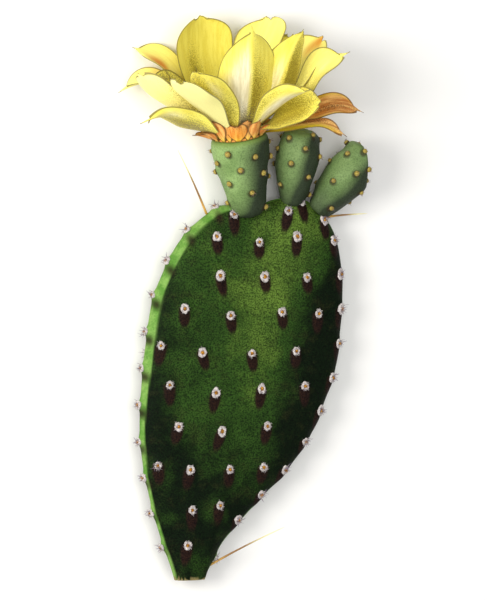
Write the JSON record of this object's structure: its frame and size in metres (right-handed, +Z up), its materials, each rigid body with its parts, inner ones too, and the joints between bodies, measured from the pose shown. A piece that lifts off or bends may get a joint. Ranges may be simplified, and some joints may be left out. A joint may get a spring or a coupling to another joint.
{
  "type": "prickly pear cactus pad",
  "caption": "Flat, spiny prickly pear pad lying on its back, with an open yellow flower on a studded green ovary and green buds on its top edge.",
  "frame": {"origin": "middle of the flat spot on the pad's back that it rests on", "axes": "+Z up out of the pad's front face, +Y from the cut foot to the flower, +X across the pad towards the leaning bud"},
  "size_m": [0.1024, 0.2185, 0.06],
  "materials": {
    "pad_skin": "waxy dark green skin with white wool",
    "young_skin": "waxy light green skin",
    "petal": "satin yellow",
    "outer_tepal": "matt rust brown",
    "stamen": "matt cream yellow",
    "style": "matt pale cream"
  },
  "bodies": {
    "root": {"pad": "pad_skin", "ovary": "young_skin", "petals": "petal", "outer_tepals": "outer_tepal", "stamens": "stamen", "style": "style", "bud_upright": "young_skin", "bud_leaning": "young_skin"}
  },
  "joints": []
}
